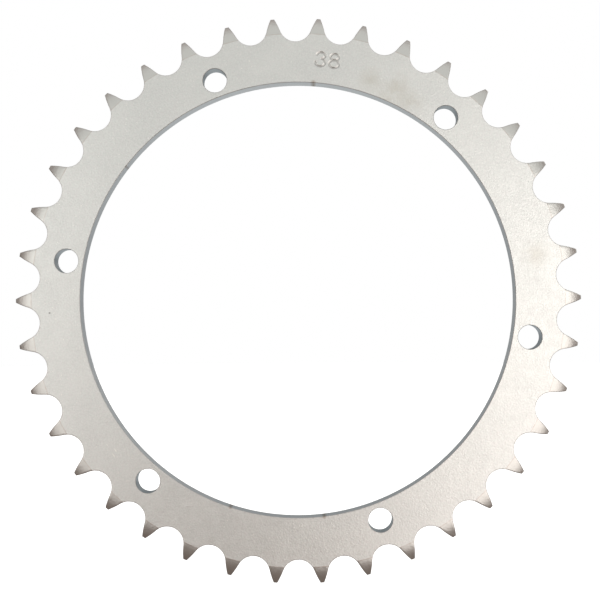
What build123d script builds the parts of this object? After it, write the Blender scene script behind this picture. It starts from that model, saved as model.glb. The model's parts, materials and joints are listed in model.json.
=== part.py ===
from build123d import *

import os
from math import acos, atan2, cos, degrees, hypot, pi, radians, sin, sqrt

# A motorcycle's rear sprocket: one flat steel plate. Its axle runs along Y, Z is up,
# and the origin is on that axle, halfway through the plate. The face with the stamped
# tooth count looks along -Y, away from the wheel. Millimetres and degrees.

# The chain it carries: 5/8 inch pitch, with 10.16 rollers.
chain_pitch = 15.875
roller_diameter = 10.16

# The plate, its bore and its bolt holes.
tooth_count = 38
plate_thickness = 5.8
bore_diameter = 153.0
bolt_circle_diameter = 165.0
bolt_hole_diameter = 8.5
bolt_hole_count = 6
first_bolt_angle = 50.3
edge_break = 0.15

# The teeth. A gap is a round seat a little larger than the roller, and the flanks
# above it bulge towards each other up to the flat tips.
seat_radius = 5.77
seat_half_angle = 68.6
flank_radius = 45.0
tip_diameter = 199.6

# The side relief thins each tooth from both faces, so that the chain's side plates
# slide on. It starts with a crease just outside the roots.
relief_start_diameter = 187.4
relief_start_slope = 7.0
relief_radius = chain_pitch

# The tooth count, stamped into the outer face near the top, between bore and teeth.
stamp_angle = 82.2
stamp_radius = 84.9
stamp_height = 5.6
stamp_pitch = 4.9
stamp_stroke = 0.6
stamp_depth = 0.25

# Each figure is two bowls, the upper one smaller. The 3 has a mouth in each, on its left.
small_bowl_share = 0.45
small_bowl_width = 3.5
large_bowl_width = 3.9
mouth_share = 0.45
mouth_shift = 0.2

# Solids that only cut reach this far past the metal they cut away.
cut_past = 1.0

pitch_angle = 360 / tooth_count
pitch_radius = chain_pitch / 2 / sin(pi / tooth_count)
root_radius = pitch_radius - roller_diameter / 2
tip_radius = tip_diameter / 2
half_thickness = plate_thickness / 2


def at(radius, angle):
    """The point at this radius and angle."""
    return (radius * cos(radians(angle)), radius * sin(radians(angle)))


def turned(point, angle):
    """This point, turned about the axle."""
    return at(hypot(*point), degrees(atan2(point[1], point[0])) + angle)


def mirrored(point):
    """The matching point on the other side of a gap that lies on the first axis."""
    return (point[0], -point[1])


def turned_arc(first, middle, last, angle):
    """The arc through three points of the gap on the first axis, turned to this gap."""
    return ThreePointArc(turned(first, angle), turned(middle, angle), turned(last, angle))


def tooth_outline():
    """The closed line round all the teeth.

    The gap is worked out once, on the first axis, and only one half of it, because the
    other half is its mirror. The seat's arc and the flank's arc have a common tangent
    where they meet, so both centres lie on one line through that point.
    """
    seat_centre = root_radius + seat_radius
    lean = radians(seat_half_angle)
    seat_end = (seat_centre - seat_radius * cos(lean), seat_radius * sin(lean))
    flank_centre_x = seat_end[0] - flank_radius * cos(lean)
    flank_centre_y = seat_end[1] + flank_radius * sin(lean)

    # The flank ends on the tip circle. The axle, the flank's centre and that corner make
    # a triangle with three known sides, which gives the corner's angle.
    reach = hypot(flank_centre_x, flank_centre_y)
    spread = acos((reach**2 + tip_radius**2 - flank_radius**2) / (2 * reach * tip_radius))
    corner = at(tip_radius, degrees(atan2(flank_centre_y, flank_centre_x) - spread))

    start = atan2(seat_end[1] - flank_centre_y, seat_end[0] - flank_centre_x)
    end = atan2(corner[1] - flank_centre_y, corner[0] - flank_centre_x)
    halfway = (start % (2 * pi) + end % (2 * pi)) / 2
    flank_middle = (
        flank_centre_x + flank_radius * cos(halfway),
        flank_centre_y + flank_radius * sin(halfway),
    )
    next_corner = turned(mirrored(corner), pitch_angle)
    tip_middle = at(tip_radius, pitch_angle / 2)

    outline = []
    for gap in range(tooth_count):
        angle = (gap + 0.5) * pitch_angle
        low_flank = (mirrored(corner), mirrored(flank_middle), mirrored(seat_end))
        outline.append(turned_arc(*low_flank, angle))
        outline.append(turned_arc(mirrored(seat_end), (root_radius, 0), seat_end, angle))
        outline.append(turned_arc(seat_end, flank_middle, corner, angle))
        outline.append(turned_arc(corner, tip_middle, next_corner, angle))
    return outline


def relief_depth(radius):
    """How deep the side relief is at this radius: an arc, tilted where it starts."""
    slope = radians(relief_start_slope)
    run = sin(slope) + (radius - relief_start_diameter / 2) / relief_radius
    return relief_radius * (cos(slope) - sqrt(1 - run**2))


def side_relief():
    """The ring of metal that is cut away at one face, from the crease outwards."""
    crease = relief_start_diameter / 2
    outside = tip_radius + cut_past
    middle = (crease + outside) / 2
    above = half_thickness + cut_past
    start = (crease, half_thickness)
    end = (outside, half_thickness - relief_depth(outside))
    curve = ThreePointArc(start, (middle, half_thickness - relief_depth(middle)), end)
    rest = Polyline(end, (outside, above), (crease, above), start)
    return revolve(make_face([curve, rest]), Axis.Y)


def figure(has_mouths):
    """A figure 8 drawn about its own centre, or a 3 where its bowls have mouths."""
    line_height = stamp_height - stamp_stroke
    small = line_height / 2 * small_bowl_share
    large = line_height / 2 - small
    half_line = stamp_stroke / 2
    shape = Sketch()
    for bowl, width, centre in (
        (small, small_bowl_width, line_height / 2 - small),
        (large, large_bowl_width, large - line_height / 2),
    ):
        reach = (width - stamp_stroke) / 2
        ring = Ellipse(reach + half_line, bowl + half_line)
        ring -= Ellipse(reach - half_line, bowl - half_line)
        if has_mouths:
            ring -= Pos(-reach, -centre * mouth_shift) * Rectangle(width, 2 * bowl * mouth_share)
        shape += Pos(0, centre) * ring
    return shape


def stamped_count():
    """The figures of the tooth count, as the solid that the stamp presses in."""
    figures = Pos(-stamp_pitch / 2, 0) * figure(True)
    figures += Pos(stamp_pitch / 2, 0) * figure(False)
    upright = Rot(0, 0, stamp_angle - 90) * Pos(0, stamp_radius) * figures
    floor = Plane.XZ.offset(half_thickness - stamp_depth)
    return extrude(floor * upright, stamp_depth + cut_past)


def edges_round(solid, diameter):
    """The solid's edges that are full or part circles of this diameter."""
    circles = solid.edges().filter_by(GeomType.CIRCLE)
    return [edge for edge in circles if abs(edge.radius - diameter / 2) < 0.01]


def sprocket_ring():
    """The whole plate."""
    blank = make_face(tooth_outline())
    blank -= Circle(bore_diameter / 2)
    for hole in range(bolt_hole_count):
        angle = first_bolt_angle + hole * 360 / bolt_hole_count
        blank -= Pos(*at(bolt_circle_diameter / 2, angle)) * Circle(bolt_hole_diameter / 2)
    plate = extrude(Plane.XZ * blank, half_thickness, both=True)
    plate = chamfer(edges_round(plate, bore_diameter), edge_break)
    plate = chamfer(edges_round(plate, bolt_hole_diameter), edge_break)
    relief = side_relief()
    plate -= relief
    plate -= mirror(relief, about=Plane.XZ)
    plate -= stamped_count()
    return plate


os.makedirs("parts", exist_ok=True)
ring = sprocket_ring()
export_step(ring, "parts/sprocket_ring.step")
print("pitch radius", round(pitch_radius, 3), "root radius", round(root_radius, 3))
print("tip thickness", round(plate_thickness - 2 * relief_depth(tip_radius), 3))
print("steel volume", round(ring.volume), "mm3")
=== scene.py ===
# %% [markdown]
# # A motorcycle's rear sprocket
# The real thing is one flat steel plate. A disc is turned to size, its teeth are milled
# round the rim, six bolt holes are drilled, the tooth count is stamped on the outside,
# and the whole plate is blasted and zinc plated. This lesson makes it in that order,
# from bmesh operators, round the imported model, which says how large everything is.

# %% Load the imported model
import json
from math import acos, atan2, cos, pi, radians, sin, sqrt

import bmesh
import bpy
from mathutils import Matrix, Quaternion, Vector

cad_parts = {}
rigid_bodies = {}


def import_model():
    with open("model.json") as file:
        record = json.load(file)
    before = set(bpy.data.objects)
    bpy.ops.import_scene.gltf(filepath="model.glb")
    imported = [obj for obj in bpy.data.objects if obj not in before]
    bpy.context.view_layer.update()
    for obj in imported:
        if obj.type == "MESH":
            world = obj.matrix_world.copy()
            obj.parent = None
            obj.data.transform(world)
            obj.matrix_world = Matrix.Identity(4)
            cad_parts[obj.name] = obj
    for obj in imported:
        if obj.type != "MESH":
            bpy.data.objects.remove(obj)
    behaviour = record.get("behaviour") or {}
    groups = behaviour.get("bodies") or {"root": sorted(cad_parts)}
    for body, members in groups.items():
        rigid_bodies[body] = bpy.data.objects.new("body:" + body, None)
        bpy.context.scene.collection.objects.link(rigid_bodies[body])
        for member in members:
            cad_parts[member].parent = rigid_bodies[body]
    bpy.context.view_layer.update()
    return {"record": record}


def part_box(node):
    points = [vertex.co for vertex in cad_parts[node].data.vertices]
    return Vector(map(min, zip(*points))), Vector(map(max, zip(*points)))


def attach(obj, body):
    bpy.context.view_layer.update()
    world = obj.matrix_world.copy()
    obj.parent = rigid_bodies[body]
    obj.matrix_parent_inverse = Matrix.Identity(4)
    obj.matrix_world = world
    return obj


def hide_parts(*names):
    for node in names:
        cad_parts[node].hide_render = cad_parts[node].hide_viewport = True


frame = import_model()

# %% [markdown]
# ## Sizes
# Everything that fits something else comes from the record's mounts: the bore, the bolt
# circle and the chain's pitch circle. The axle runs along Y and Z is up. Seen from the
# stamped side, which looks along -Y, angles run anticlockwise from +X, and a turn about
# the direction TOWARDS_VIEWER by a positive angle is an anticlockwise one.

# %% Read the sizes from the frame
mm = 0.001
TINY = 0.001 * mm
TOWARDS_VIEWER = Vector((0, -1, 0))

mounts = {mount["name"]: mount["dims"] for mount in frame["record"]["mounts"]}
low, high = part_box("sprocket_ring")
half_thickness = (high.y - low.y) / 2
tip_radius = high.x
bore_radius = mounts["bore"]["r_mm"] * mm
edge_break = half_thickness - mounts["bore"]["length_mm"] * mm / 2
bolt_circle_radius = mounts["bolt_circle"]["pcd_mm"] / 2 * mm
hole_radius = mounts["bolt_circle"]["hole_r_mm"] * mm
hole_count = mounts["bolt_circle"]["count"]
tooth_count = mounts["chain_teeth"]["count"]
pitch_radius = mounts["chain_teeth"]["pcd_mm"] / 2 * mm
half_pitch = pi / tooth_count
chain_pitch = 2 * pitch_radius * sin(half_pitch)
roller_radius = 5.08 * mm
root_radius = pitch_radius - roller_radius
print("teeth", tooth_count, "chain pitch", round(chain_pitch / mm, 3), "mm")

# %% [markdown]
# ## The line of one tooth gap
# Between two teeth sits a chain roller, so the bottom of the gap is an arc a little
# larger than the roller. Each flank above it is a long arc that bulges into the gap, up
# to the flat tip. One arc runs into the other without a corner. Spinning one vertex
# draws an arc, and the places where it has to stop come from triangles whose three sides
# are known. Only half of the gap is drawn, because the other half is its mirror.

# %% Half of the gap's line, drawn by spinning one vertex
seat_radius = 5.77 * mm
seat_lean = radians(68.6)
flank_radius = 45.0 * mm
crease_radius = 93.7 * mm
seat_steps = 12
upper_seat_steps = 2
flank_steps = 10


def corner_angle(one_side, other_side, facing_side):
    """The angle of a triangle between two sides, from the lengths of all three."""
    return acos((one_side**2 + other_side**2 - facing_side**2) / (2 * one_side * other_side))


def spun_vertex(mesh, vertex, centre, angle, steps):
    """Draws an arc from this vertex about a centre, and returns the arc's last vertex."""
    spun = bmesh.ops.spin(
        mesh, geom=[vertex], cent=centre, axis=TOWARDS_VIEWER, angle=angle, steps=steps
    )
    return [piece for piece in spun["geom_last"] if isinstance(piece, bmesh.types.BMVert)][0]


def gap_line(mesh):
    """Half of one gap's line, on the plate's outer face: seat, then flank."""
    face_y = -half_thickness
    seat_centre = Vector((root_radius + seat_radius, face_y, 0))
    lean_at_crease = corner_angle(seat_centre.x, seat_radius, crease_radius)
    bottom = mesh.verts.new((root_radius, face_y, 0))
    crease = spun_vertex(mesh, bottom, seat_centre, -lean_at_crease, seat_steps)
    top = spun_vertex(mesh, crease, seat_centre, lean_at_crease - seat_lean, upper_seat_steps)

    flank_centre = seat_centre + (seat_radius + flank_radius) * Vector(
        (-cos(seat_lean), 0, sin(seat_lean))
    )
    reach = Vector((flank_centre.x, 0, flank_centre.z)).length
    at_seat = corner_angle(flank_radius, reach, Vector((top.co.x, 0, top.co.z)).length)
    at_tip = corner_angle(flank_radius, reach, tip_radius)
    spun_vertex(mesh, top, flank_centre, at_tip - at_seat, flank_steps)


tooth = bmesh.new()
gap_line(tooth)
print("points on half a gap", len(tooth.verts))

# %% [markdown]
# ## The relief that thins the teeth
# A chain's side plates have to find their way onto the wheel, so each tooth is turned
# thinner on both faces. The cut starts with a faint crease just outside the roots and
# curves down to the tip. Its depth depends on the radius alone, so the points of the
# line sink to their own depth, and then the line is swept across the tooth: every point
# keeps its radius and its depth, and travels its own way to the tooth's middle.

# %% Sink the line to the relief, then sweep it to the middle of the tooth
relief_slope = radians(7.0)
relief_radius = chain_pitch
sweep_columns = 3


def radius_of(vertex):
    """How far this vertex is from the axle."""
    return sqrt(vertex.co.x**2 + vertex.co.z**2)


def relief_depth(radius):
    """How much the relief has cut away from one face at this radius."""
    run = max(0.0, radius - crease_radius) / relief_radius + sin(relief_slope)
    return relief_radius * (cos(relief_slope) - sqrt(1 - run**2))


def verts_of(geometry):
    """The vertices among these pieces of a mesh."""
    return [piece for piece in geometry if isinstance(piece, bmesh.types.BMVert)]


def edges_of(geometry):
    """The edges among these pieces of a mesh."""
    return [piece for piece in geometry if isinstance(piece, bmesh.types.BMEdge)]


def is_on_face(edge):
    """True for an edge that lies in the plate's flat outer face."""
    return all(abs(vertex.co.y + half_thickness) < TINY for vertex in edge.verts)


for vertex in tooth.verts:
    vertex.co.y += relief_depth(radius_of(vertex))

gap_edges = list(tooth.edges)
front = [edge for edge in gap_edges if not is_on_face(edge)]
for columns_left in range(sweep_columns, 0, -1):
    swept = bmesh.ops.extrude_edge_only(tooth, edges=front)["geom"]
    front = edges_of(swept)
    for vertex in verts_of(swept):
        angle_left = half_pitch - atan2(vertex.co.z, vertex.co.x)
        step = Matrix.Rotation(angle_left / columns_left, 3, TOWARDS_VIEWER)
        bmesh.ops.rotate(tooth, verts=[vertex], cent=(0, 0, 0), matrix=step)
print("tip is", round(2 * (half_thickness - relief_depth(tip_radius)) / mm, 2), "mm thick")

# %% [markdown]
# ## The flat of the plate, the bore and the walls
# The same half pitch now grows inwards from the roots and the crease: to a circle just
# inside the roots, across the flat to the broken edge of the bore, and down the bore's
# wall to the middle of the plate. The gap's line and the tip grow straight down to the
# middle too, which makes the seat, the flank and the tip land.

# %% Extrude the flat, the bore and the walls of half a pitch
rim_radius = root_radius - 1.0 * mm
wall_rows = 2


def extruded_to(mesh, edges, radius, y):
    """Extrudes these edges to a circle of this radius at this depth."""
    grown = bmesh.ops.extrude_edge_only(mesh, edges=edges)["geom"]
    for vertex in verts_of(grown):
        scale = radius / radius_of(vertex)
        vertex.co = (vertex.co.x * scale, y, vertex.co.z * scale)
    return edges_of(grown)


tip_edges = [
    edge for edge in tooth.edges if all(radius_of(v) > tip_radius - TINY for v in edge.verts)
]
outline = gap_edges + tip_edges

ring = [edge for edge in tooth.edges if is_on_face(edge)]
ring = extruded_to(tooth, ring, rim_radius, -half_thickness)
ring = extruded_to(tooth, ring, bore_radius + edge_break, -half_thickness)
ring = extruded_to(tooth, ring, bore_radius, edge_break - half_thickness)
extruded_to(tooth, ring, bore_radius, 0)

for rows_left in range(wall_rows, 0, -1):
    grown = bmesh.ops.extrude_edge_only(tooth, edges=outline)["geom"]
    outline = edges_of(grown)
    for vertex in verts_of(grown):
        vertex.co.y *= (rows_left - 1) / rows_left
print("faces in a quarter of one pitch", len(tooth.faces))

# %% [markdown]
# ## All the teeth
# Two mirrors turn the quarter into one whole pitch of the plate, and one spin sets the
# copies round the axle. The seams between the copies are merged, so the plate is one
# closed skin.

# %% Mirror the pitch and set it round the axle
def everything(mesh):
    """All of a mesh, as the operators' geom wants it."""
    return mesh.verts[:] + mesh.edges[:] + mesh.faces[:]


for axis in ("Z", "Y"):
    bmesh.ops.mirror(
        tooth, geom=everything(tooth), matrix=Matrix.Identity(4), merge_dist=TINY, axis=axis
    )
quarter_turn = Matrix.Rotation(half_pitch, 3, TOWARDS_VIEWER)
bmesh.ops.rotate(tooth, verts=tooth.verts, cent=(0, 0, 0), matrix=quarter_turn)
bmesh.ops.spin(
    tooth,
    geom=everything(tooth),
    cent=(0, 0, 0),
    axis=TOWARDS_VIEWER,
    angle=2 * pi * (tooth_count - 1) / tooth_count,
    steps=tooth_count - 1,
    use_duplicate=True,
)
bmesh.ops.remove_doubles(tooth, verts=tooth.verts, dist=TINY)
bmesh.ops.recalc_face_normals(tooth, faces=tooth.faces)
print("open edges", sum(not edge.is_manifold for edge in tooth.edges))

# %% [markdown]
# ## Rounded tooth edges
# Tumbling and blasting take the sharpness off every milled edge. A small bevel with a
# few segments gives the rims of both faces and of the tips the soft edge that catches
# the light. The short edges that run through the plate, at the corners of each tip, stay
# crisp, and so does the crease of the relief, which is far shallower than these edges.
# The rounding leaves a few vertices a hair above the flat, so they are set back onto it.

# %% Round the milled edges
tooth_rounding = 0.28 * mm
sharp_angle = radians(35)


def is_milled_edge(edge):
    """True for the sharp edges round the teeth, but not for those through the plate."""
    outside = all(radius_of(vertex) > root_radius - TINY for vertex in edge.verts)
    start, end = (vertex.co for vertex in edge.verts)
    through = Vector((start.x - end.x, start.z - end.z)).length < TINY
    return outside and not through and edge.calc_face_angle() > sharp_angle


milled = [edge for edge in tooth.edges if is_milled_edge(edge)]
bmesh.ops.bevel(
    tooth,
    geom=milled,
    offset=tooth_rounding,
    offset_type="OFFSET",
    segments=3,
    profile=0.5,
    affect="EDGES",
    material=-1,
    clamp_overlap=True,
)
bmesh.ops.remove_doubles(tooth, verts=tooth.verts, dist=TINY)
for vertex in tooth.verts:
    vertex.co.y = max(-half_thickness, min(half_thickness, vertex.co.y))
print("faces after rounding", len(tooth.faces))


def object_from(mesh, name):
    """Turns a bmesh into an object of the scene and frees it."""
    data = bpy.data.meshes.new(name)
    mesh.to_mesh(data)
    mesh.free()
    thing = bpy.data.objects.new(name, data)
    bpy.context.scene.collection.objects.link(thing)
    return thing


plate = object_from(tooth, "sprocket_plate")

# %% [markdown]
# ## Drills and a stamp
# The bolt holes are drilled through and their edges broken with a countersink, so the
# tool that cuts them here is a drill with a cone at each end, spun from its section. The
# two figures of the tooth count are built from bowls: a small one above a large one, and
# on the 3 both are open on the left. A blunt stamp leaves a groove with a narrow bottom
# and shoulders that are drawn down softly from the face. So the line of that groove's
# section is spun round each bowl's centre, its ends are closed with the same section
# spun on the spot, and the bowl is stretched a little sideways. Drills and figures are
# taken from the plate with an exact boolean, as metal is taken from metal.

# %% The drill for one bolt hole
first_hole_angle = radians(50.3)
past = 1.0 * mm
drill_steps = 64


def drill(mesh, x, z):
    """A drill along Y through this point, with a cone at each face of the plate."""
    wide = hole_radius + edge_break + past
    section = [
        (0, -half_thickness - past),
        (wide, -half_thickness - past),
        (hole_radius, edge_break - half_thickness),
        (hole_radius, half_thickness - edge_break),
        (wide, half_thickness + past),
        (0, half_thickness + past),
    ]
    points = [mesh.verts.new((x + across, y, z)) for across, y in section]
    lines = [mesh.edges.new(pair) for pair in zip(points, points[1:])]
    bmesh.ops.spin(
        mesh,
        geom=points + lines,
        cent=(x, 0, z),
        axis=TOWARDS_VIEWER,
        angle=2 * pi,
        steps=drill_steps,
        use_merge=True,
    )


drills = bmesh.new()
for hole in range(hole_count):
    angle = first_hole_angle + 2 * pi * hole / hole_count
    drill(drills, bolt_circle_radius * cos(angle), bolt_circle_radius * sin(angle))
bmesh.ops.remove_doubles(drills, verts=drills.verts, dist=TINY)
bmesh.ops.recalc_face_normals(drills, faces=drills.faces)
print("drills' open edges", sum(not edge.is_manifold for edge in drills.edges))

# %% The stamp for the figures
figure_angle = radians(82.4)
figure_radius = 84.9 * mm
figure_spacing = 4.9 * mm
bowl_steps = 40
end_steps = 24
full_turn = 2 * pi
# The groove's section, from above the face down to its bottom: how far each point is
# from the middle of the stroke, and how deep it is in the metal.
groove_in_mm = [
    (0.46, -0.20),
    (0.46, -0.01),
    (0.36, 0.02),
    (0.26, 0.08),
    (0.16, 0.16),
    (0.06, 0.20),
]
groove = [(across * mm, depth * mm) for across, depth in groove_in_mm]
# Each bowl's half width, its half height, and how far its centre is above the figure's.
small_bowl = (1.46 * mm, 1.12 * mm, 1.38 * mm)
large_bowl = (1.72 * mm, 1.36 * mm, -1.12 * mm)
print("stroke", round(2 * groove[1][0] / mm, 2), "mm wide,", round(groove[-1][1] / mm, 2), "mm deep")


# %% A groove round one bowl
def move(mesh, verts, matrix):
    """Moves these vertices by a 4 × 4 matrix."""
    bmesh.ops.transform(mesh, verts=verts, matrix=matrix, space=Matrix.Identity(4))


def linked_to(mesh, start, allowed):
    """All the allowed vertices that edges connect to the starting ones, in the mesh's order."""
    found, queue = set(start), list(start)
    while queue:
        for edge in queue.pop().link_edges:
            for vertex in edge.verts:
                if vertex in allowed and vertex not in found:
                    found.add(vertex)
                    queue.append(vertex)
    return [vertex for vertex in mesh.verts if vertex in found]


def line_of(mesh, points):
    """A chain of edges through these points."""
    verts = [mesh.verts.new(point) for point in points]
    return verts + [mesh.edges.new(pair) for pair in zip(verts, verts[1:])]


def bowl(mesh, size, aside, start, sweep):
    """A groove round one bowl of a figure, or round a part of it with round ends."""
    half_width, half_height, above = size
    before = set(mesh.verts)
    whole = sweep == full_turn
    one_side = [(half_height + across, depth, 0) for across, depth in groove]
    other_side = [(half_height - across, depth, 0) for across, depth in reversed(groove)]
    section = line_of(mesh, one_side + other_side)
    section.append(mesh.edges.new((section[0], section[2 * len(groove) - 1])))
    to_start = Matrix.Rotation(start, 4, TOWARDS_VIEWER)
    move(mesh, verts_of(section), to_start)
    bmesh.ops.spin(
        mesh,
        geom=section,
        cent=(0, 0, 0),
        axis=TOWARDS_VIEWER,
        angle=sweep,
        steps=bowl_steps,
        use_merge=whole,
    )
    if not whole:
        open_edges = [edge for edge in mesh.edges if edge.is_boundary]
        bmesh.ops.holes_fill(mesh, edges=open_edges, sides=2 * len(groove))
        for end in (start, start + sweep):
            middle = Vector((half_height, 0, 0))
            points = [(middle.x, groove[0][1], 0)] + one_side + [(middle.x, groove[-1][1], 0)]
            half_section = line_of(mesh, points)
            made = bmesh.ops.spin(
                mesh,
                geom=half_section,
                cent=middle,
                axis=TOWARDS_VIEWER,
                angle=2 * pi,
                steps=end_steps,
                use_merge=True,
            )
            round_end = verts_of(half_section) + verts_of(made["geom_last"])
            grown = {vertex for vertex in mesh.verts if vertex not in before}
            end_verts = linked_to(mesh, round_end, grown)
            move(mesh, end_verts, Matrix.Rotation(end, 4, TOWARDS_VIEWER))
            bmesh.ops.remove_doubles(mesh, verts=end_verts, dist=TINY)
    new = [vertex for vertex in mesh.verts if vertex not in before]
    stretch = Matrix.Diagonal((half_width / half_height, 1, 1, 1))
    upright = Matrix.Rotation(figure_angle - pi / 2, 4, TOWARDS_VIEWER)
    place = Matrix.Translation((aside, -half_thickness, figure_radius + above))
    move(mesh, new, upright @ place @ stretch)


# %% Both figures
figures = bmesh.new()
for size, start, sweep in (
    (small_bowl, radians(-75), radians(245)),
    (large_bowl, radians(-185), radians(260)),
):
    bowl(figures, size, -figure_spacing / 2, start, sweep)
    bowl(figures, size, figure_spacing / 2, 0, full_turn)
bmesh.ops.recalc_face_normals(figures, faces=figures.faces)
print("figures' open edges", sum(not edge.is_manifold for edge in figures.edges))


# %% Cut the holes and press the figures
def cut_away(thing, tool, crossing):
    """Takes the tool's solid from the thing's with an exact boolean, and bins the tool."""
    modifier = thing.modifiers.new("cut", "BOOLEAN")
    modifier.operation = "DIFFERENCE"
    modifier.solver = "EXACT"
    modifier.use_self = crossing
    modifier.object = tool
    bpy.context.view_layer.update()
    evaluated = thing.evaluated_get(bpy.context.evaluated_depsgraph_get())
    result = bpy.data.meshes.new_from_object(evaluated)
    thing.modifiers.clear()
    old = thing.data
    name = old.name
    thing.data = result
    bpy.data.meshes.remove(old)
    result.name = name
    bpy.data.objects.remove(tool)


cut_away(plate, object_from(drills, "drills"), False)
cut_away(plate, object_from(figures, "stamp"), True)
print("faces with holes and figures", len(plate.data.polygons))

# %% [markdown]
# ## Which edges look sharp
# The flat faces are drawn flat and everything round is drawn smooth. An edge where the
# metal turns by more than a few tens of degrees is marked sharp, and so is the shallow
# crease of the relief, which would vanish if the light ran smoothly over it.

# %% Mark sharp edges
shade_angle = radians(32)
flatness = 0.99999
crease_width = 0.02 * mm


def is_crease(edge):
    """True for an edge on the circle where the relief leaves the flat face."""
    return all(
        abs(radius_of(vertex) - crease_radius) < crease_width
        and abs(abs(vertex.co.y) - half_thickness) < crease_width
        for vertex in edge.verts
    )


skin = bmesh.new()
skin.from_mesh(plate.data)
for face in skin.faces:
    face.smooth = abs(face.normal.y) < flatness
for edge in skin.edges:
    turn = edge.calc_face_angle(0)
    edge.smooth = turn < shade_angle and not is_crease(edge)
print("open edges at the end", sum(not edge.is_manifold for edge in skin.edges))
skin.to_mesh(plate.data)
skin.free()

# %% [markdown]
# ## Zinc on blasted steel
# The plate was blasted before it was plated, so its grey is satin and has a fine, even
# grain. All of it is noise on Object coordinates, so the grain keeps its size everywhere.
# From coarse to fine it is: clouds a centimetre wide where the plating took a little
# differently, an unevenness of the gloss a few millimetres wide, and below a millimetre
# the specks, the rare sparkles, a breath of pink in the grey, and the bump.
#
# The finish changes where the work on the metal changed. The relief of the teeth was
# turned, so it is a little glossier. Its colour is a little darker too: a painted shade
# for the dim surroundings that its tilt mirrors. The ragged brownish line in its crease
# is a painted shadow. The walls of the bolt holes are a darker grey. The rest is wear and
# chance: a few yellowish stains, flecks on the bore's wall, one dark spot and two short
# scratches. The figures' grooves are painted darker, a painted shade that dims the
# highlights on their walls. Each of these is a soft spot round a point of the face.

# %% Helpers for a material made of nodes
def new_material(name):
    """A new material and its node tree."""
    material = bpy.data.materials.new(name)
    material.use_nodes = True
    return material, material.node_tree


def add(tree, kind, settings=(), **inputs):
    """Adds a node, sets its properties, and sets or links its inputs by name."""
    node = tree.nodes.new(kind)
    for key, value in dict(settings).items():
        setattr(node, key, value)
    for key, value in inputs.items():
        socket = node.inputs[key.replace("_", " ")]
        if isinstance(value, bpy.types.NodeSocket):
            tree.links.new(value, socket)
        else:
            socket.default_value = value
    return node


def noise(tree, place, size, detail, roughness=0.5):
    """Noise whose features are about this many metres wide."""
    settings = {"Vector": place, "Scale": 1 / size, "Detail": detail, "Roughness": roughness}
    return add(tree, "ShaderNodeTexNoise", **settings).outputs["Fac"]


def remap(tree, value, low, high, to_low, to_high):
    """Stretches a value's range from low..high to to_low..to_high, and clamps it."""
    node = tree.nodes.new("ShaderNodeMapRange")
    tree.links.new(value, node.inputs["Value"])
    for name, number in (
        ("From Min", low),
        ("From Max", high),
        ("To Min", to_low),
        ("To Max", to_high),
    ):
        node.inputs[name].default_value = number
    return node.outputs["Result"]


def feed(tree, node, sockets, values):
    """Sets or links a node's inputs, picked by their numbers."""
    for number, value in zip(sockets, values):
        if isinstance(value, bpy.types.NodeSocket):
            tree.links.new(value, node.inputs[number])
        else:
            node.inputs[number].default_value = value


def mixed(tree, share, first, second):
    """A mix of two colours, by a share that is a number or a socket."""
    node = add(tree, "ShaderNodeMix", {"data_type": "RGBA"})
    feed(tree, node, (0, 6, 7), (share, first, second))
    return node.outputs[2]


def mixed_number(tree, share, first, second):
    """A mix of two numbers, by a share that is a number or a socket."""
    node = add(tree, "ShaderNodeMix")
    feed(tree, node, (0, 2, 3), (share, first, second))
    return node.outputs[0]


# %% Where the finish changes
def peak(tree, value, centre, half_width):
    """One at this value, falling to nothing this far from it."""
    offset = add(tree, "ShaderNodeMath", {"operation": "SUBTRACT"})
    feed(tree, offset, (0, 1), (value, centre))
    size = add(tree, "ShaderNodeMath", {"operation": "ABSOLUTE"})
    feed(tree, size, (0,), (offset.outputs[0],))
    return remap(tree, size.outputs[0], 0, half_width, 1, 0)


def times(tree, first, second):
    """The product of two numbers, each of them a number or a socket."""
    node = add(tree, "ShaderNodeMath", {"operation": "MULTIPLY"})
    feed(tree, node, (0, 1), (first, second))
    return node.outputs[0]


def times_each(tree, vector, factors):
    """A colour or a place, each of its three numbers times its own factor."""
    node = add(tree, "ShaderNodeVectorMath", {"operation": "MULTIPLY"})
    feed(tree, node, (0, 1), (vector, factors))
    return node.outputs[0]


def spot(tree, place, x, z, radius, softness=1.0):
    """One within this radius of a point of the face, fading over a rim as wide as asked."""
    apart = add(tree, "ShaderNodeVectorMath", {"operation": "DISTANCE"})
    feed(tree, apart, (0, 1), (times_each(tree, place, (1, 0, 1)), (x * mm, 0, z * mm)))
    reach = radius * mm
    return remap(tree, apart.outputs["Value"], reach * (1 - softness), reach, 1, 0)


def scratch(tree, place, x, z, lean, half_length, half_width):
    """One along a short straight line on the face, fading to nothing at its rim."""
    mapping = add(
        tree,
        "ShaderNodeMapping",
        {"vector_type": "TEXTURE"},
        Vector=place,
        Location=(x * mm, 0, z * mm),
        Rotation=(0, -lean, 0),
        Scale=(half_length * mm, 1, half_width * mm),
    )
    apart = add(tree, "ShaderNodeVectorMath", {"operation": "LENGTH"})
    feed(tree, apart, (0,), (mapping.outputs["Vector"],))
    return remap(tree, apart.outputs["Value"], 0.3, 1, 1, 0)


# %% The blasted face: clouds, specks, sparkles and a breath of pink
zinc_light = (0.692, 0.692, 0.682, 1)
zinc_dark = (0.656, 0.658, 0.650, 1)
bare_light = (0.80, 0.80, 0.79, 1)
sparkle_white = (0.92, 0.90, 0.86, 1)
pinkish = (1.012, 0.988, 0.998)

zinc, tree = new_material("satin_zinc_on_blasted_steel")
shader = tree.nodes["Principled BSDF"]
place = add(tree, "ShaderNodeTexCoord").outputs["Object"]

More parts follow.
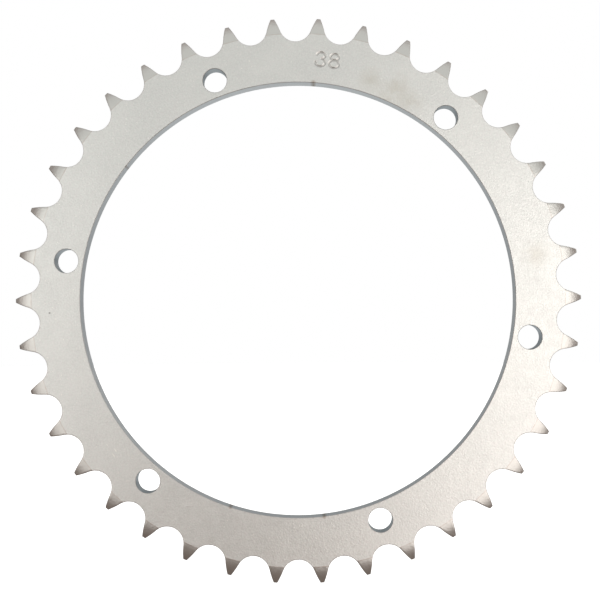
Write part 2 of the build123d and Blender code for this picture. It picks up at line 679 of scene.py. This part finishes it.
clouds = noise(tree, place, 11 * mm, detail=3)
colour = mixed(tree, remap(tree, clouds, 0.35, 0.65, 0, 1), zinc_dark, zinc_light)
speck = noise(tree, place, 0.6 * mm, detail=1)
colour = mixed(tree, remap(tree, speck, 0.25, 0.75, 0, 0.55), colour, bare_light)
sparkle = noise(tree, place, 0.7 * mm, detail=1)
colour = mixed(tree, remap(tree, sparkle, 0.70, 0.78, 0, 0.8), colour, sparkle_white)
tint = noise(tree, place, 0.9 * mm, detail=1)
pinker = times_each(tree, colour, pinkish)
colour = mixed(tree, remap(tree, tint, 0.3, 0.7, 0, 1), pinker, colour)
print("nodes for the blasted face", len(tree.nodes))

# %% The turned relief, its painted shade, and a painted shadow in its crease
# The relief's colour is a little darker: a painted shade for the dim surroundings that its tilt
# mirrors.
relief_shade_zinc = (0.645, 0.633, 0.620, 1)
# The brown of the painted shadow along the crease:
crease_shadow_brown = (0.44, 0.33, 0.28, 1)

from_axle = add(tree, "ShaderNodeVectorMath", {"operation": "LENGTH"})
feed(tree, from_axle, (0,), (times_each(tree, place, (1, 0, 1)),))
radius = from_axle.outputs["Value"]
turned = remap(tree, radius, crease_radius, crease_radius + 0.2 * mm, 0, 1)
colour = mixed(tree, turned, colour, relief_shade_zinc)

# A ragged brownish line just outside the crease is a painted shadow.
ragged = noise(tree, place, 1.2 * mm, detail=2)
painted_crease_shadow = times(
    tree,
    peak(tree, radius, crease_radius + 0.06 * mm, 0.24 * mm),
    remap(tree, ragged, 0.3, 0.7, 0.2, 0.6),
)
colour = mixed(tree, painted_crease_shadow, colour, crease_shadow_brown)
print("relief starts at", round(crease_radius / mm, 1), "mm from the axle")

# %% The walls of the bolt holes, painted a darker grey
# The walls of the bolt holes are painted a darker grey.
darker_hole_wall = (0.40, 0.42, 0.43, 1)
for hole in range(hole_count):
    angle = first_hole_angle + 2 * pi * hole / hole_count
    x, z = bolt_circle_radius * cos(angle) / mm, bolt_circle_radius * sin(angle) / mm
    inside = spot(tree, place, x, z, (hole_radius + 0.05 * mm) / mm, 0.005)
    colour = mixed(tree, times(tree, inside, 0.75), colour, darker_hole_wall)
print("walls made dull", hole_count)

# %% Flecks on the bore's wall
rust_brown = (0.30, 0.22, 0.16, 1)
flecks = ((6.2, 76.3, 1.1), (-23.8, -72.6, 0.9), (9.0, -76.0, 1.0), (-60.0, 47.0, 0.7))
for x, z, reach in flecks:
    fleck = spot(tree, place, x, z, reach)
    colour = mixed(tree, times(tree, fleck, 0.8), colour, rust_brown)
print("flecks", len(flecks))

# %% Stains, a dark spot, scratches and painted shade in the figures, on the stamped side only
stain_yellow = (0.60, 0.57, 0.53, 1)
spot_grey = (0.36, 0.35, 0.34, 1)
# The grey of the painted shade in the figures' grooves:
groove_shade_grey = (0.40, 0.395, 0.385, 1)
stains = (
    (26.5, 77.0, 5.5),
    (35.8, 75.5, 5.0),
    (33.5, 71.5, 6.5),
    (40.0, 69.0, 6.0),
    (83.5, 15.0, 6.0),
)
scratches = ((-64.7, -54.4, 1.1), (-64.0, -52.7, 0.95))
scratch_lean = radians(-56)

along_axle = add(tree, "ShaderNodeSeparateXYZ", Vector=place).outputs["Y"]


def by_depth(shallow, deep, at_shallow, at_deep):
    """A number that changes between two depths, in mm, below the stamped face."""
    face_y = -half_thickness
    return remap(tree, along_axle, face_y + shallow * mm, face_y + deep * mm, at_shallow, at_deep)


stamped_side = by_depth(0.4, 0.8, 1, 0)
blotches = noise(tree, place, 4.5 * mm, detail=4, roughness=0.6)
blotchy = times(tree, remap(tree, blotches, 0.33, 0.56, 0, 1), stamped_side)
for x, z, reach in stains:
    stain = times(tree, spot(tree, place, x, z, reach), blotchy)
    colour = mixed(tree, times(tree, stain, 0.7), colour, stain_yellow)

dark_spot = spot(tree, place, -87.2, -4.4, 0.45, 0.6)
colour = mixed(tree, times(tree, dark_spot, stamped_side), colour, spot_grey)

for x, z, half_length in scratches:
    mark = times(tree, scratch(tree, place, x, z, scratch_lean, half_length, 0.22), stamped_side)
    colour = mixed(tree, times(tree, mark, 0.9), colour, sparkle_white)

# The figures' grooves are painted darker: a painted shade that dims the highlights on their walls
# and darkens their lines.
in_groove = times(tree, by_depth(0.01, 0.1, 0, 1), stamped_side)
x, z = figure_radius * cos(figure_angle) / mm, figure_radius * sin(figure_angle) / mm
stamped = times(tree, in_groove, spot(tree, place, x, z, 6.0, 0.1))
colour = mixed(tree, times(tree, stamped, 0.5), colour, groove_shade_grey)
tree.links.new(colour, shader.inputs["Base Color"])
print("stains", len(stains), "scratches", len(scratches))

# %% Gloss and grain
unevenness = noise(tree, place, 2.5 * mm, detail=3)
blasted_gloss = remap(tree, unevenness, 0.3, 0.7, 0.36, 0.41)
turned_gloss = remap(tree, unevenness, 0.3, 0.7, 0.32, 0.36)
gloss = mixed_number(tree, turned, blasted_gloss, turned_gloss)
tree.links.new(gloss, shader.inputs["Roughness"])

grain_height = 0.044 * mm
grain = noise(tree, place, 0.62 * mm, detail=1.5)
blast = add(tree, "ShaderNodeBump", Strength=1.0, Distance=grain_height, Height=grain)
tree.links.new(blast.outputs["Normal"], shader.inputs["Normal"])
shader.inputs["Metallic"].default_value = 1.0

plate.data.materials.clear()
plate.data.materials.append(zinc)
print("nodes in the zinc", len(tree.nodes))

# %% [markdown]
# ## Into the frame
# The plate rides on the model's only body, so it is wherever that body is, and it is
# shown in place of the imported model's plate. Its slot says what it is made of.

# %% Put the plate in the frame
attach(plate, "root")
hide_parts("sprocket_ring")
print("on the root body:", plate.name)

# %% [markdown]
# ## Floor, surroundings and light
# The sprocket stands on its lowest teeth on a plain pale floor. Satin metal shows what
# stands round it, so the light in front is three large soft panels: one to the lower
# right, a fainter one to the left and a wide, dim one above. Beyond their edges the
# surroundings are dark and warm. The flat face mirrors the middle of the panels and the
# curved sides of the teeth mirror their edges, which is what makes the tips dark. The
# walls of the bore and the holes mirror what stands behind the plate: a cool backdrop,
# lighter below than above. Three small panels, well to the sides, light the plate's
# edge and its back.

# %% The floor
floor_radius = 2.0
floor_mesh = bmesh.new()
bmesh.ops.create_circle(
    floor_mesh,
    cap_ends=True,
    segments=128,
    radius=floor_radius,
    matrix=Matrix.Translation((0, 0, low.z)),
)
floor = object_from(floor_mesh, "floor")
paper, tree = new_material("pale_floor")
shader = tree.nodes["Principled BSDF"]
shader.inputs["Base Color"].default_value = (0.9, 0.9, 0.9, 1)
shader.inputs["Roughness"].default_value = 0.9
shader.inputs["Emission Color"].default_value = (1, 1, 1, 1)
floor_glow = 0.93
seen = add(tree, "ShaderNodeLightPath").outputs["Is Camera Ray"]
tree.links.new(remap(tree, seen, 0, 1, 0, floor_glow), shader.inputs["Emission Strength"])
floor.data.materials.append(paper)
# The right panel reaches below the floor, so the floor neither blocks it nor shows in
# the metal.
floor.visible_glossy = False
floor.visible_diffuse = False
floor.visible_shadow = False
print("floor at", round(low.z / mm, 2), "mm")

# %% The surroundings
dim_low = (0.195, 0.153, 0.130, 1)
dim_high = (0.50, 0.455, 0.43, 1)
backdrop_low = (0.66, 0.71, 0.73, 1)
backdrop_high = (0.30, 0.33, 0.345, 1)
white = (1, 1, 1, 1)
world = bpy.data.worlds.new("studio")
bpy.context.scene.world = world
world.use_nodes = True
tree = world.node_tree
direction = add(tree, "ShaderNodeTexCoord").outputs["Generated"]
direction_parts = add(tree, "ShaderNodeSeparateXYZ", Vector=direction)
height = direction_parts.outputs["Z"]
dim = mixed(tree, remap(tree, height, 0, 1, 0, 1), dim_low, dim_high)
depth = direction_parts.outputs["Y"]
backdrop = mixed(tree, remap(tree, height, -0.4, 0, 0, 1), backdrop_low, backdrop_high)
dim = mixed(tree, remap(tree, depth, 0.2, 0.75, 0, 1), dim, backdrop)
seen = add(tree, "ShaderNodeLightPath").outputs["Is Camera Ray"]
tree.links.new(mixed(tree, seen, dim, white), tree.nodes["Background"].inputs["Color"])
print("nodes in the surroundings", len(tree.nodes))


# %% The soft panels
panel_distance = 1.0


def panel(name, azimuth, elevation, width, height, radiance):
    """A soft light in this direction from the axle, facing it, whose face has this radiance."""
    light = bpy.data.lights.new(name, "AREA")
    light.shape = "RECTANGLE"
    light.size = width
    light.size_y = height
    brightest = max(radiance)
    light.energy = brightest * pi * width * height
    light.color = [channel / brightest for channel in radiance]
    thing = bpy.data.objects.new(name, light)
    a, e = radians(azimuth), radians(elevation)
    thing.location = panel_distance * Vector((sin(a) * cos(e), -cos(a) * cos(e), sin(e)))
    thing.rotation_euler = (-thing.location).to_track_quat("-Z", "Y").to_euler()
    thing.visible_camera = False
    bpy.context.scene.collection.objects.link(thing)
    print(name, [round(number, 2) for number in thing.location], "m")


panel("right_panel", 32, -12.3, 0.91, 0.91, (1.55, 1.49, 1.41))
panel("left_panel", -39, -6.5, 0.83, 0.77, (0.945, 0.94, 0.90))
panel("top_panel", 3, 30, 2.35, 1.44, (0.44, 0.50, 0.49))
panel("side_panel", 98, 4, 0.6, 0.9, (0.5, 0.5, 0.49))
panel("back_right_panel", 128, 30, 0.7, 0.7, (1.2, 1.2, 1.16))
panel("back_left_panel", -125, 15, 0.6, 0.6, (0.6, 0.6, 0.58))

# %% [markdown]
# ## The camera
# It stands square on to the stamped side, a little below and to the right of the axle.

# %% Place the camera
camera_place = Vector((6.5, -355.3, -9.25)) * mm
camera_target = Vector((1.01, -2.9, -0.40)) * mm
camera_roll = radians(-0.36)

lens = bpy.data.cameras.new("camera")
lens.lens = 60.29
lens.sensor_width = 36
lens.clip_start = 0.01
camera = bpy.data.objects.new("camera", lens)
camera.location = camera_place
look = (camera_target - camera_place).to_track_quat("-Z", "Y")
camera.rotation_mode = "QUATERNION"
camera.rotation_quaternion = look @ Quaternion((0, 0, 1), camera_roll)
bpy.context.scene.collection.objects.link(camera)
bpy.context.scene.camera = camera
bpy.context.scene.view_settings.view_transform = "Standard"
print("camera is", round((camera_target - camera_place).length / mm), "mm from the plate")
